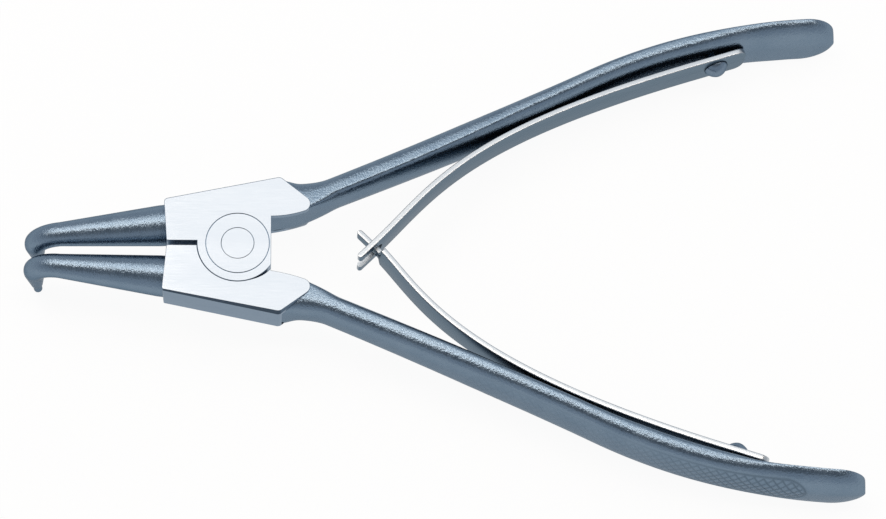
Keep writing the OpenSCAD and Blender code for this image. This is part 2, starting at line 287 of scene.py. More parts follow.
def make(name, points, faces, finishes, chosen=None, crease=CREASE, strip=None, hatch=None):
    """One mesh object from points in millimetres, faces turned outward, smooth
    but for edges sharper than the crease angle.  Chosen gives each face's finish,
    strip and hatch a value for each point."""
    mesh = bpy.data.meshes.new(name)
    mesh.from_pydata((np.asarray(points) * MM).tolist(), [], faces)
    for finish in finishes:
        mesh.materials.append(finish)
    if chosen is not None:
        mesh.polygons.foreach_set("material_index", np.asarray(chosen, np.int32))
    if strip is not None:
        on_corners(mesh, "strip", "FLOAT_VECTOR", "vector", np.asarray(strip) * MM)
    if hatch is not None:
        on_corners(mesh, "hatch", "FLOAT", "value", np.asarray(hatch))
    outward(mesh)
    creased(mesh, crease)
    piece = bpy.data.objects.new(name, mesh)
    bpy.context.scene.collection.objects.link(piece)
    return piece


def combine(piece, others, operation):
    """Applies an exact Boolean of piece with each of the others, which are then removed."""
    for other in others:
        step = piece.modifiers.new("combine", "BOOLEAN")
        step.operation = operation
        step.solver = "EXACT"
        step.object = other
        step.material_mode = "TRANSFER"
    bpy.context.view_layer.update()
    evaluated = piece.evaluated_get(bpy.context.evaluated_depsgraph_get())
    done = bpy.data.meshes.new_from_object(evaluated)
    piece.modifiers.clear()
    old, piece.data = piece.data, done
    done.name = piece.name
    bpy.data.meshes.remove(old)
    for other in others:
        mesh = other.data
        bpy.data.objects.remove(other)
        bpy.data.meshes.remove(mesh)
    creased(done, CREASE)
    return piece


def smooth(a, b, x):
    """0 before a, 1 after b, and the step 3 t^2 - 2 t^3 between."""
    t = np.clip((x - a) / (b - a), 0, 1)
    return t * t * (3 - 2 * t)


def mix(a, b, t):
    """From a at t = 0 to b at t = 1, in a straight line."""
    return a + (b - a) * t


def spow(x, e):
    """The size of x to the power e, with the sign of x."""
    return np.sign(x) * np.abs(x) ** e


def quadratic(start, pull, end, t):
    """Quadratic curve from start to end, drawn towards pull:
    start (1 - t)^2 + 2 pull t (1 - t) + end t^2."""
    return start * (1 - t) ** 2 + pull * 2 * t * (1 - t) + end * t ** 2


def turned(points, lower):
    """Points about the middle plane, turned over about X for the lower lever, set
    at the head's height."""
    flip = np.array([1, -1, -1]) if lower else 1
    return points * flip + UP * MID_Z


def mirrored(points, lower):
    """Points about the middle plane, mirrored in Y for the lower lever, set at the
    head's height."""
    return points * np.array([1, -1 if lower else 1, 1]) + UP * MID_Z


# Handle.  Stretches of arc length over which its sizes come in or die out
WIDENS, ROOT_W_ENDS = (4, 62), (0, 12)
THINS, ROOT_IN_ENDS = (20, HANDLE_LEN), (-3.5, 4.5)
FLARE_ENDS, FILL_ENDS, SLIMS = (0, FLARE_LEN), (1, 6), (40, 70)
# Least share of the width, squared, and of the thickness at the very end
END_W_LEAST, END_T_LEAST = 0.004, 0.6
# Crest of the section, as a share of the inner half thickness, on its upper and
# its lower side: from one share to another, then a further shift
CREST_UPPER = (-0.38, 0.42, (30, 95), 0.2, (92, 115))
CREST_LOWER = (-0.3, -0.45, (50, 95), -0.4, (96, 116))
# Fuller lower side under the spring
BULGE, BULGE_STARTS, BULGE_ENDS = 0.5, (68, 82), (98, 105)
# Powers of the section's superellipse, and where the outer and the inner half change
SQUARE, OVAL, ROUND = 7, 3, 2.0
OUTER_EASES, INNER_ROUNDS, INNER_SQUARES, END_ROUNDS = (1, 7), (3, 13), (45, 90), (92, 112)
# Rows along the neck, the blade and the end, and points round the section
NECK_TO, NECK_ROWS, BLADE_ROWS, END_ROWS, SECTION_COLS = 28, 76, 372, 40, 104
# Section used to space those points, closer by OUTER_FINER past OUTER_FROM
SPACE_U, SPACE_Z, OUTER_FROM, OUTER_FINER = 2.4, 6.4, 1.0, 1.6


def handle_pose(s):
    """Centre line of a handle at arc length s: one arc of SHANK_TURN over the
    shank, then one of GRIP_TURN over the grip.  On an arc of radius r, x grows
    by r (sin h1 - sin h0) and y by -r (cos h1 - cos h0)."""
    x0, y0, h0 = HANDLE_START
    h0 = math.radians(h0)
    r1 = SHANK_LEN / math.radians(SHANK_TURN)
    r2 = GRIP_LEN / math.radians(GRIP_TURN)
    a = np.minimum(s, SHANK_LEN) / r1
    b = np.maximum(s - SHANK_LEN, 0) / r2
    x = x0 + r1 * (np.sin(h0 + a) - math.sin(h0)) + r2 * (np.sin(h0 + a + b) - np.sin(h0 + a))
    y = y0 - r1 * (np.cos(h0 + a) - math.cos(h0)) - r2 * (np.cos(h0 + a + b) - np.cos(h0 + a))
    return x, y, h0 + a + b


def handle_sizes(s):
    """Width along Z, inner and outer half thickness of a handle at arc length s.
    Over the last END_R the width falls as sqrt(1 - t^2)."""
    t = np.maximum(0, s - HANDLE_LEN + END_R) / END_R
    fade = np.sqrt(np.maximum(END_W_LEAST, 1 - t ** 2))
    width = (mix(NECK_W, GRIP_W, smooth(*WIDENS, s))
             + ROOT_W * (1 - smooth(*ROOT_W_ENDS, s))) * fade
    inner = (mix(NECK_T, GRIP_T, smooth(*THINS, s)) / 2 * mix(END_T_LEAST, 1, fade)
             - ROOT_IN * (1 - smooth(*ROOT_IN_ENDS, s)))
    outer = (inner + FLARE_T * (1 - smooth(*FLARE_ENDS, s))
             + ROOT_FILL * (1 - smooth(*FILL_ENDS, s)) - SLIM_T * smooth(*SLIMS, s))
    return width, inner, outer


def section_angles(count):
    """Angles round the handle's section, spaced by arc length on a superellipse
    and closer on the outer face."""
    a = np.linspace(0, 2 * np.pi, 20001)
    u = spow(np.cos(a), 2 / OVAL) * SPACE_U
    z = spow(np.sin(a), 2 / OVAL) * SPACE_Z
    step = np.hypot(np.diff(u), np.diff(z)) * np.where(u[1:] > OUTER_FROM, OUTER_FINER, 1.0)
    run = np.concatenate([[0], np.cumsum(step)])
    return np.interp(np.arange(count) * run[-1] / count, run, a)


def crest_share(s, begin, end, moves, extra, extra_moves):
    """Share that goes from begin to end over one stretch and on by extra over another."""
    return mix(begin, end, smooth(*moves, s)) + extra * smooth(*extra_moves, s)


# Cross-hatched panel on the outer face of each grip, pressed in, with a painted shade in its
# grooves
PANEL_FROM, PANEL_TO, PANEL_HALF = 43.0, 114.5, 4.7
HATCH_ALONG, HATCH_ACROSS = 1.9, 2.8
HATCH_DEEP = 0.12
# Width of a groove as a share of the spacing, the plain margin, and the border
GROOVE_W, MARGIN = 0.13, 0.5
BORDER_W, BORDER_SHARE = 0.3, 0.9
# The rolling is worn towards the head, and ends where the face turns away
WORN, FRESH, WEAR_ENDS = 0.15, 0.85, (PANEL_FROM + 27, PANEL_TO - 6)
FACING = (0.5, 0.85)


def panel_share(s, z):
    """Share of full depth of the rolled cross-hatch: two families of grooves,
    s/along + z/across and s/along - z/across, inside a stadium outline with a
    groove round it."""
    mid = np.clip(s, PANEL_FROM + PANEL_HALF, PANEL_TO - PANEL_HALF)
    out = np.hypot(s - mid, z) - PANEL_HALF
    inside = 1 - smooth(-MARGIN, 0.0, out)
    fade = mix(WORN, FRESH, smooth(*WEAR_ENDS, s))
    lines = [np.exp(-((q - np.round(q)) / GROOVE_W) ** 2)
             for q in (s / HATCH_ALONG + z / HATCH_ACROSS, s / HATCH_ALONG - z / HATCH_ACROSS)]
    border = np.exp(-(out / BORDER_W) ** 2)
    return fade * np.maximum(np.maximum(*lines) * inside, BORDER_SHARE * border)


def handle_grid():
    """Lofted handle about the middle plane: each ring is four quarter superellipses,
    square at the root and rounder along the handle.  Along the grip the crest of
    the upper side moves to the outer face and that of the lower side to the inner
    one, so the blade stands a little askew, and under the spring the lower side
    fills out towards it.  The panel is pressed in along the normal."""
    blade_to = HANDLE_LEN - END_R
    s = np.concatenate([
        np.linspace(-ROOT_BACK, NECK_TO, NECK_ROWS, endpoint=False),
        np.linspace(NECK_TO, blade_to, BLADE_ROWS, endpoint=False),
        blade_to + END_R * np.sin(np.linspace(0, np.pi / 2, END_ROWS))])[:, None]
    a = section_angles(SECTION_COLS)[None, :]
    x, y, h = handle_pose(s)
    width, inner, outer = handle_sizes(s)
    crest = inner * np.where(np.sin(a) > 0,
                             crest_share(s, *CREST_UPPER), crest_share(s, *CREST_LOWER))
    on_outer = np.cos(a) > 0
    bulge = (BULGE * smooth(*BULGE_STARTS, s) * (1 - smooth(*BULGE_ENDS, s))
             * np.clip(-np.sin(a), 0, 1))
    inner_power = mix(ROUND, OVAL, smooth(*INNER_SQUARES, s))
    power = np.where(on_outer, mix(SQUARE, OVAL, smooth(*OUTER_EASES, s)),
                     mix(SQUARE, inner_power, smooth(*INNER_ROUNDS, s)))
    e = 2 / mix(power, ROUND, smooth(*END_ROUNDS, s))
    u = crest + spow(np.cos(a), e) * np.where(on_outer, outer - crest, inner + crest + bulge)
    z = spow(np.sin(a), e) * width / 2
    grid = np.stack([x - np.sin(h) * u, y + np.cos(h) * u, z + 0 * u], -1)
    along = np.gradient(grid, axis=0)
    around = np.roll(grid, -1, 1) - np.roll(grid, 1, 1)
    normal = np.cross(around, along)
    normal /= np.linalg.norm(normal, axis=-1, keepdims=True) + 1e-12
    outside = normal[..., 0] * -np.sin(h) + normal[..., 1] * np.cos(h)
    sense = np.sign(outside[len(s) // 2, 0])
    # This share sets the grooves' depth and also their darker colour, a painted shade
    hatch = panel_share(s, z) * smooth(*FACING, outside * sense)
    return grid - normal * sense * (HATCH_DEEP * hatch)[..., None], hatch


# Jaw.  Lip at the head, share of the bend where the taper steepens and the
# diameter kept there, shoulder above the ring pin, and the pin's rounded end
LIP_LEN, LIP_D = 1.6, 0.1
BEND_SHARE, BEND_KEEP = 0.8, 0.95
STEP_D, STEP_FORE, STEP_AFT, STEP_ROWS_AFT = PIN_D + 0.5, 0.3, 0.25, 0.35
PIN_ROUND = 0.45


def jaw_grid():
    """Round tapered jaw: a circle carried along a straight run, a square bend
    down and the tip, then a shoulder, the ring pin and its rounded end, where
    the radius falls by 1 - sqrt(1 - t^2)."""
    run = np.linalg.norm(JAW_TIP - JAW_ROOT)
    ahead = np.append((JAW_TIP - JAW_ROOT) / run, 0)
    side = np.array([-ahead[1], ahead[0], 0])
    straight = run - BEND_R
    bend = BEND_R * np.pi / 2
    tip = TIP_DROP - PIN_LEN - BEND_R
    length = straight + bend + tip
    total = length + PIN_LEN
    s = np.concatenate([
        np.linspace(0, straight, 60, endpoint=False),
        np.linspace(straight, straight + bend, 48, endpoint=False),
        np.linspace(straight + bend, length - STEP_FORE, 24, endpoint=False),
        np.linspace(length - STEP_FORE, length + STEP_ROWS_AFT, 10, endpoint=False),
        np.linspace(length + STEP_ROWS_AFT, total - PIN_ROUND, 8, endpoint=False),
        total - PIN_ROUND + PIN_ROUND * np.sin(np.linspace(0, np.pi / 2, 9))])
    d = np.interp(s, [0, LIP_LEN, straight, straight + bend * BEND_SHARE, length],
                  [JAW_ROOT_D + LIP_D, JAW_ROOT_D, JAW_BEND_D, JAW_BEND_D * BEND_KEEP, STEP_D])
    shoulder = smooth(length - STEP_FORE, length + STEP_AFT, s)
    d = np.where(s > length - STEP_FORE, mix(STEP_D, PIN_D, shoulder), d)
    t = np.maximum(0, s - total + PIN_ROUND) / PIN_ROUND
    d = d - 2 * PIN_ROUND * (1 - np.sqrt(np.clip(1 - t ** 2, 0, 1)))
    q = np.clip((s - straight) / bend, 0, 1) * np.pi / 2
    ahead_run = np.minimum(s, straight) + BEND_R * np.sin(q)
    drop = BEND_R * (1 - np.cos(q)) + np.maximum(0, s - straight - bend)
    middle = np.append(JAW_ROOT, 0) + ahead_run[:, None] * ahead - drop[:, None] * UP
    lift = np.sin(q)[:, None] * ahead + np.cos(q)[:, None] * UP
    a = np.linspace(0, 2 * np.pi, 56, endpoint=False)
    ring = np.cos(a)[None, :, None] * side + np.sin(a)[None, :, None] * lift[:, None, :]
    return middle[:, None, :] + ring * (d / 2)[:, None, None]


# Head.  The outer wall stands out from the upper face's outline, and a chamfer
# that widens to the rear leads from it to the lower face
WALL_OUT, WALL_FALL, WALL_SEAM = 0.8, 2.2, 0.02
BREAK_FRONT, BREAK_REAR, BREAK_SLOPE = 0.38, 0.74, 0.5
# Recess for the other lever's boss, at the slot and at the flat, and the angles
# over which it closes in
RECESS_SLOT, RECESS_FLAT = BOSS_R + BOSS_GAP / 3, BOSS_R + 2 * BOSS_GAP
RECESS_CLOSES = (0.7, 1.35)
# Rounded corners of the plan; the brow is rounder on the upper face than on the wall
NOSE_R, NOSE_POINTS, WALL_BROW_R, FACE_BROW_R, SHOULDER_R = 0.25, 4, 0.35, 0.8, 0.6
# Heel: its arc's middle below HEEL_H and end angle, the bow of its inner edge,
# and how far that edge moves between the two faces
HEEL_SINK, HEEL_END, HEEL_BOW_X, HEEL_BOW_Y, HEEL_SHIFT = 0.8, -76, 10.2, 0.28, 0.25
# Broken edges of the ground faces, of the countersink and of the ring line
FACE_IN, RIM_OUT, RIM_DROP, SIDE_DROP = 0.08, 0.05, 0.06, 0.1
SINK_GAP, SINK_BREAK, BORE_GAP, RING_FLOOR = 0.05, 0.06, 0.04, 0.6
# Least value that keeps a sharp corner from moving too far when a path is inset
INSET_LEAST = 0.6


def corner(before, at, after, radius, count=6):
    """Points that round a corner: a quadratic curve between the two tangent points."""
    before, at, after = (np.asarray(p, float) for p in (before, at, after))
    to = [(q - at) / np.linalg.norm(q - at) for q in (before, after)]
    t = np.linspace(0, 1, count)[:, None]
    return quadratic(at + to[0] * radius, at, at + to[1] * radius, t)


def arc(middle, radius, start, stop, count):
    """Points on a circle between two angles in degrees."""
    a = np.radians(np.linspace(start, stop, count))
    return np.asarray(middle) + radius * np.stack([np.cos(a), np.sin(a)], -1)


def heel_run(d):
    """Outline of the heel from the shoulder to the boss: a straight rear edge, an
    arc of HEEL_R, and a bowed inner edge moved by d."""
    middle = np.array([HEEL_X - HEEL_R, HEEL_H - HEEL_SINK + d])
    lead = math.degrees(math.atan2(HEAD_REAR_H - HEEL_H, HEEL_X - HEAD_REAR))
    heel = arc(middle, HEEL_R, 90 - lead, HEEL_END, 18)
    t = np.linspace(0, 1, 12)[1:-1, None]
    bow = np.array([HEEL_BOW_X, HEEL_Y + HEEL_BOW_Y + d])
    return np.vstack([heel, quadratic(heel[-1], bow, np.array([BOSS_FLAT, HEEL_Y]), t)])


def head_outer(front, rear, brow_r=WALL_BROW_R):
    """Plan from the slot round the nose and the brow to the rear shoulder, with
    the brow, rounded by brow_r, and the shoulder moved out by the two amounts."""
    slot = (-math.sqrt(RECESS_SLOT ** 2 - SLOT_Y ** 2), SLOT_Y)
    nose, brow = (-HEAD_FRONT, SLOT_Y), (-HEAD_FRONT - FRONT_RAKE, HEAD_FRONT_H + front)
    shoulder = (HEAD_REAR, HEAD_REAR_H + rear)
    return np.vstack([
        [slot],
        corner(slot, nose, brow, NOSE_R, NOSE_POINTS),
        corner(nose, brow, shoulder, brow_r),
        corner(brow, shoulder, heel_run(0)[0], SHOULDER_R)])


def head_paths(start):
    """Inner runs of the plan: the straight line under the heel from the given
    point, the edge at the boss flat, and the boss round the pivot or the recess
    for the other lever's boss, which opens out towards the flat."""
    flat_in = math.sqrt(RECESS_FLAT ** 2 - BOSS_FLAT ** 2)
    flat_out = math.sqrt(BOSS_R ** 2 - BOSS_FLAT ** 2)
    flat = np.array([(BOSS_FLAT, HEEL_Y), (BOSS_FLAT, flat_in)])
    line = mix(start, flat[0], np.linspace(0, 1, 8)[1:-1, None])
    turn = math.degrees(math.atan2(flat_out, BOSS_FLAT))
    boss = arc((0, 0), BOSS_R, -turn, -180 - math.degrees(math.asin(SLOT_Y / BOSS_R)), 110)
    q = np.linspace(math.atan2(flat_in, BOSS_FLAT),
                    math.pi - math.asin(SLOT_Y / RECESS_SLOT), 70)[1:-1]
    wide = mix(RECESS_FLAT, RECESS_SLOT, smooth(*RECESS_CLOSES, q))
    return line, flat, boss, np.stack([wide * np.cos(q), wide * np.sin(q)], -1)


def inset(path, amount):
    """A closed path moved inward by the given amount at each point, along the mean
    of its two edges' normals."""
    edge = np.roll(path, -1, 0) - path
    edge /= np.linalg.norm(edge, axis=1, keepdims=True)
    normal = np.stack([-edge[:, 1], edge[:, 0]], -1)
    area = np.sum(path[:, 0] * np.roll(path[:, 1], -1) - path[:, 1] * np.roll(path[:, 0], -1))
    normal *= np.sign(area)
    both = normal + np.roll(normal, 1, 0)
    both /= np.maximum(INSET_LEAST, np.sum(both * both, 1, keepdims=True) / 2)
    return path + both * np.asarray(amount)[:, None]


def head_half(ring_line):
    """Closed head half about the middle plane: plans that share their outer run
    stacked in levels, with a thin heel at each ground face, a step at the lap,
    chamfers at both faces, and the bore, its countersink and the ring line as
    circles carried down a stepped profile."""
    outer = head_outer(WALL_OUT, WALL_OUT)
    line, flat, boss, hollow = head_paths(outer[-1])
    top = np.vstack([outer, heel_run(-HEEL_SHIFT), flat, boss])
    low = np.vstack([outer, heel_run(HEEL_SHIFT), flat, hollow])
    face, lap, step = HEAD_T / 2, LAP_GAP / 2, HEAD_T / 2 - HEEL_STEP
    first = len(outer)
    past = first + len(heel_run(0))
    blocks, count = [], 0

    def level(plan, z):
        """Adds a plan at the given heights and returns its point numbers."""
        nonlocal count
        blocks.append(np.column_stack([plan, np.broadcast_to(z, len(plan))]))
        numbers = np.arange(count, count + len(plan))
        count += len(plan)
        return numbers

    def on_wall(plan):
        """True from the brow to the shoulder, past the slot and the nose."""
        k = np.arange(len(plan))
        return (k > NOSE_POINTS) & (k < first)

    wall_top, wall_low = on_wall(top), on_wall(low)
    rise = (low[:, 0] + HEAD_FRONT + FRONT_RAKE) / (HEAD_REAR + HEAD_FRONT + FRONT_RAKE)
    fall = mix(BREAK_FRONT, BREAK_REAR, rise) * BREAK_SLOPE
    low_edge = np.vstack([head_outer(WALL_OUT - BREAK_FRONT, WALL_OUT - BREAK_REAR), low[first:]])
    top_edge = np.vstack([head_outer(0, 0, FACE_BROW_R), top[first:]])
    rim = np.vstack([head_outer(RIM_OUT, RIM_OUT, FACE_BROW_R), top[first:]])
    top_face = level(inset(top_edge, np.full(len(top), FACE_IN)), face)
    top_rim = level(rim, face - RIM_DROP)
    top_side = level(top, np.where(wall_top, face - WALL_FALL, face - SIDE_DROP))
    top_step = level(top, np.where(wall_top, face - WALL_FALL - WALL_SEAM, step))
    top_line = level(line, step)
    lap_all = level(np.vstack([outer, line, flat, boss]), lap)
    lap_hollow = level(hollow, lap)
    low_step = level(low, -step)
    low_line = level(line, -step)
    low_side = level(low, -face + np.where(wall_low, fall, RIM_DROP))
    low_face = level(inset(low_edge, np.where(wall_low, 0.0, FACE_IN)), -face)
    under_top = np.concatenate([top_step[:first], top_line, top_step[past:]])
    under_low = np.concatenate([low_step[:first], low_line, low_step[past:]])
    shared = first + len(line) + len(flat)
    lap_low = np.concatenate([lap_all[:shared], lap_hollow])

    a = np.linspace(0, 2 * np.pi, 96, endpoint=False)
    sink_r, bore_r = PIVOT_HEAD_R + SINK_GAP, PIVOT_R + BORE_GAP
    holes = [(sink_r + SINK_BREAK, face), (sink_r, face - SINK_BREAK),
             (bore_r, face - SINK_H), (bore_r, lap)]
    land = None
    if ring_line:
        w = RING_W / 2
        ring = [(RING_R + w, face), (RING_R + w * RING_FLOOR, face - RING_DEEP),
                (RING_R - w * RING_FLOOR, face - RING_DEEP), (RING_R - w, face)]
        land, holes = len(ring) - 1, ring + holes
    circles = [level(r * np.stack([np.cos(a), np.sin(a)], -1), z) for r, z in holes]
    points = np.vstack(blocks)

    def fill(*loops):
        """Triangles over the outline given by the first loop, less the others."""
        rings = [[Vector(points[i]) for i in loop] for loop in loops]
        numbers = np.concatenate(loops)
        return [tuple(int(numbers[i]) for i in t) for t in tessellate_polygon(rings)]

    bright = fill(top_face, circles[0]) + fill(low_face)
    if ring_line:
        bright += ring_quads(circles[land], circles[land + 1]).tolist()
    lap_face = np.concatenate([lap_all[shared - 1:], lap_all[:1], lap_hollow[::-1]])
    satin = fill(lap_face, circles[-1])
    for heel, straight in ((top_step, top_line), (low_step, low_line)):
        satin += fill(np.concatenate([heel[first - 1:past + 1], straight[::-1]]))
    for upper, lower in ((top_face, top_rim), (top_rim, top_side), (top_side, top_step),
                         (under_top, lap_all), (lap_low, under_low),
                         (low_step, low_side), (low_side, low_face)):
        satin += ring_quads(upper, lower).tolist()
    for k in range(len(circles) - 1):
        if k != land:
            satin += ring_quads(circles[k], circles[k + 1]).tolist()
    return points, bright + satin, [0] * len(bright) + [1] * len(satin)


def lever(name, lower):
    """One lever: head half, jaw and handle joined into a single closed skin."""
    points, faces, chosen = head_half(ring_line=not lower)
    head = make(name, turned(points, lower), faces, [GROUND, MILLED], chosen)
    grid, hatch = handle_grid()
    points, faces = tube(grid)
    grip = make(name + "_grip", turned(points, lower), faces, [FORGED],
                hatch=np.append(hatch.ravel(), [0, 0]))
    points, faces = tube(jaw_grid())
    jaw = make(name + "_jaw", mirrored(points, lower), faces, [TURNED])
    return combine(head, [grip, jaw], "UNION")


# Springs.  Pulls of the curve at the seat and at the crossing, as shares of the span
UPPER_PULLS, LOWER_PULLS = (0.68, 0.22), (0.73, 0.16)
# Rounded edges of the strip, and the least share of its thickness at the tip, squared
STRIP_R, STRIP_R_POINTS, TIP_LEAST = 0.22, 5, 0.02
# Taper to the tongue, the closer rows before it, and the reach of the fork's cutter
TONGUE_TAPER, TONGUE_ROWS_FORE, CUT_REACH = 0.8, 1.2, 3.0


def seat_pose():
    """Place of the spring rivet, a little off the handle's inner face, with the
    strip's heading there."""
    s = np.array(SEAT_S)
    x, y, h = (float(v) for v in handle_pose(s))
    _, inner, _ = (float(v) for v in handle_sizes(s))
    u = inner + SEAT_GAP
    return np.array([x + math.sin(h) * u, y - math.cos(h) * u]), h + math.radians(SEAT_LIFT)


def spring_path(lower):
    """Centre line of a leaf spring from its seat end to its free tip, and its run
    of lengths: a straight seat, a cubic Bezier curve to the crossing, and a
    straight end."""
    seat, h = seat_pose()
    ahead = np.array([math.cos(h), math.sin(h)])
    base = seat + np.array([math.sin(h), -math.cos(h)]) * SPRING_T / 2
    cross = np.array([CROSS_X, -CROSS_Y if lower else CROSS_Y])
    hold, lead = LOWER_PULLS if lower else UPPER_PULLS
    free = base - ahead * SEAT_FORE
    span = np.linalg.norm(free - cross)
    p1, p2 = free - ahead * span * hold, cross + CROSS_WAY * span * lead
    t = np.linspace(0, 1, 600)[:, None]
    curve = (free * (1 - t) ** 3 + p1 * 3 * t * (1 - t) ** 2
             + p2 * 3 * t * t * (1 - t) + cross * t ** 3)
    k = np.linspace(0, 1, 60)[:, None]
    path = np.vstack([
        mix(base + ahead * SEAT_AFT, free, k)[:-1], curve,
        mix(cross, cross - CROSS_WAY * SPRING_OVER, k)[1:]])
    run = np.concatenate([[0], np.cumsum(np.linalg.norm(np.diff(path, axis=0), axis=1))])
    return path, run


def rounded_profile():
    """Rounded rectangle as the signs of its four corners and offsets from them:
    each corner is a quarter circle of STRIP_R."""
    q = np.linspace(0, np.pi / 2, STRIP_R_POINTS)
    signs, offs = [], []
    for k, (su, sz) in enumerate(((1, 1), (-1, 1), (-1, -1), (1, -1))):
        turn = q if k % 2 == 0 else q[::-1]
        signs.append(np.tile([su, sz], (STRIP_R_POINTS, 1)))
        offs.append(np.stack([su * STRIP_R * (np.cos(turn) - 1),
                              sz * STRIP_R * (np.sin(turn) - 1)], -1))
    return np.concatenate(signs), np.concatenate(offs)


def strip_grid(half, s, path, run):
    """A rounded rectangle of the given half height carried along the spring's
    centre line, thinned at the tip by sqrt(1 - t^2), and its places on the strip."""
    x, y = np.interp(s, run, path[:, 0]), np.interp(s, run, path[:, 1])
    d = np.stack([np.gradient(x, s), np.gradient(y, s)], -1)
    d /= np.linalg.norm(d, axis=1, keepdims=True)
    across = np.stack([-d[:, 1], d[:, 0]], -1)
    tip = SPRING_T / 2
    t = np.maximum(0, s - run[-1] + tip) / tip
    thin = np.sqrt(np.clip(1 - t ** 2, TIP_LEAST, 1))
    signs, offs = rounded_profile()
    u = (signs[:, 0] * SPRING_T / 2 + offs[:, 0]) * thin[:, None]
    z = signs[:, 1] * half[:, None] + offs[:, 1]
    grid = np.stack([x[:, None] + across[:, :1] * u, y[:, None] + across[:, 1:] * u, z], -1)
    return grid, np.stack([s[:, None] + 0 * u, z, u], -1)


def strip_finishes(rows, cols):
    """0 for the rolled faces and 1 for the sheared edges and the ends: an edge quad
    lies between the middles of two corner arcs at the top or at the bottom."""
    per = cols // 4
    column = np.arange(cols) % (2 * per)
    edge = (column >= per // 2) & (column < 2 * per - per // 2 - 1)
    return np.concatenate([np.tile(edge, rows - 1).astype(int), np.ones(2 * cols, int)])


def fork_slot(end):
    """Cutter for the fork that ends at the given point: a slot with a round root,
    carried through the strip's thickness."""
    r = FORK_W / 2
    a = np.radians(np.linspace(-90, 90, 24))
    root = SPRING_OVER + FORK_ROOT - r
    plan = np.vstack([np.stack([root + r * np.cos(a), r * np.sin(a)], -1),
                      [(-CUT_REACH, r), (-CUT_REACH, -r)]])
    rise = np.append(CROSS_WAY, 0)
    side = np.array([-rise[1], rise[0], 0])
    levels = np.array([-CUT_REACH, CUT_REACH])
    grid = (np.append(end, 0) + plan[None, :, :1] * rise + plan[None, :, 1:] * UP
            + levels[:, None, None] * side)
    points, faces = tube(grid)
    return make("fork_slot", points + UP * MID_Z, faces, [STRIP_EDGE])


def spring(name, lower):
    """Leaf spring with a rounded seat end; the upper one ends in a fork, the lower
    one in a tongue."""
    path, run = spring_path(lower)
    total, tip = run[-1], SPRING_T / 2
    lap_from = total - (SPRING_OVER + FORK_ROOT)
    s = np.unique(np.concatenate([
        SEAT_ROUND * (1 - np.cos(np.linspace(0, np.pi / 2, 12))),
        np.linspace(SEAT_ROUND, lap_from - TONGUE_ROWS_FORE, 150)[1:],
        np.linspace(lap_from - TONGUE_ROWS_FORE, total - tip, 60)[1:],
        total - tip * (1 - np.sin(np.linspace(0, np.pi / 2, 8)))[1:]]))
    left = SEAT_ROUND - np.minimum(s, SEAT_ROUND)
    round_in = SEAT_ROUND - np.sqrt(np.clip(SEAT_ROUND ** 2 - left ** 2, 0, None))
    half = SPRING_W / 2 - round_in
    if lower:
        narrows = lap_from - TONGUE_TAPER
        half = np.where(s > narrows, mix(half, TONGUE_W / 2, smooth(narrows, lap_from, s)), half)
    grid, lay = strip_grid(half, s, path, run)
    points, faces = tube(grid)
    lay = np.vstack([lay.reshape(-1, 3), lay[0].mean(0), lay[-1].mean(0)])
    piece = make(name, mirrored(points, lower), faces, [STRIP, STRIP_EDGE],
                 strip_finishes(*grid.shape[:2]), STRIP_CREASE, lay)
    if not lower:
        combine(piece, [fork_slot(path[-1])], "DIFFERENCE")
    return piece


# Rivets.  Power of the upset head's profile, the angle where it starts, its rim,
# its play over the strip, and the small rings that a fan closes at each end
STUD_POWER, STUD_START, STUD_RIM, STUD_PLAY = 1.25, 0.12, 0.15, 0.02
STUD_FOOT_R, STUD_TOP_R, PIVOT_MIDDLE_R = 0.05, 0.02, 0.2
PIVOT_BREAK = 0.05


def revolved(profile, count=64):
    """A profile of (radius, height) carried round the axis."""
    a = np.linspace(0, 2 * np.pi, count, endpoint=False)
    r, z = np.asarray(profile, float).T
    return np.stack([r[:, None] * np.cos(a), r[:, None] * np.sin(a), z[:, None] + 0 * a], -1)


def spring_rivet(name, lower):
    """Rivet that holds a spring: shank, then an upset head between a dome and a
    cone, radius cap * cos(q)^p at height STUD_HEAD_H * sin(q)^p, p STUD_POWER."""
    cap, seat_z = STUD_HEAD_D / 2, SPRING_T + STUD_PLAY
    q = np.linspace(STUD_START, math.pi / 2, 24)[:-1]
    dome = np.stack([cap * np.cos(q) ** STUD_POWER,
                     SPRING_T + STUD_HEAD_H * np.sin(q) ** STUD_POWER], -1)
    profile = np.vstack([
        [(STUD_FOOT_R, -STUD_DEEP), (STUD_D / 2, -STUD_DEEP), (STUD_D / 2, seat_z),
         (cap - STUD_RIM, seat_z)],
        dome, [(STUD_TOP_R, SPRING_T + STUD_HEAD_H)]])
    seat, h = seat_pose()
    ahead = np.array([math.cos(h), math.sin(h), 0])
    away = np.array([math.sin(h), -math.cos(h), 0])
    local = revolved(profile)
    grid = (np.append(seat, 0) + local[..., :1] * ahead + local[..., 1:2] * UP
            + local[..., 2:] * away)
    points, faces = tube(grid)
    return make(name, mirrored(points, lower), faces, [RIVET])


def pivot_rivet(name):
    """Pivot rivet ground flush: straight shank and two countersunk heads with a
    fine broken edge."""
    face = HEAD_T / 2
    half = [(PIVOT_R, face - SINK_H), (PIVOT_HEAD_R, face - PIVOT_BREAK),
            (PIVOT_HEAD_R - PIVOT_BREAK, face), (PIVOT_MIDDLE_R, face)]
    points, faces = tube(revolved([(r, -z) for r, z in half[::-1]] + half, 96))
    return make(name, points + UP * MID_Z, faces, [GROUND], crease=PIVOT_CREASE)


# Pieces on their bodies

for side, lower in (("upper", False), ("lower", True)):
    body, other = f"{side}_half", f"{'upper' if lower else 'lower'}_half"
    forging = lever(f"{side}_lever_forging", lower)
    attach(forging, body)
    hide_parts(f"{side}_lever")
    leaf = spring(f"{side}_leaf_spring", lower)
    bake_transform(leaf)
    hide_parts(f"{side}_spring")
    stud = spring_rivet(f"{side}_spring_stud", lower)
    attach(stud, body)
    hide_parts(f"{side}_spring_rivet")

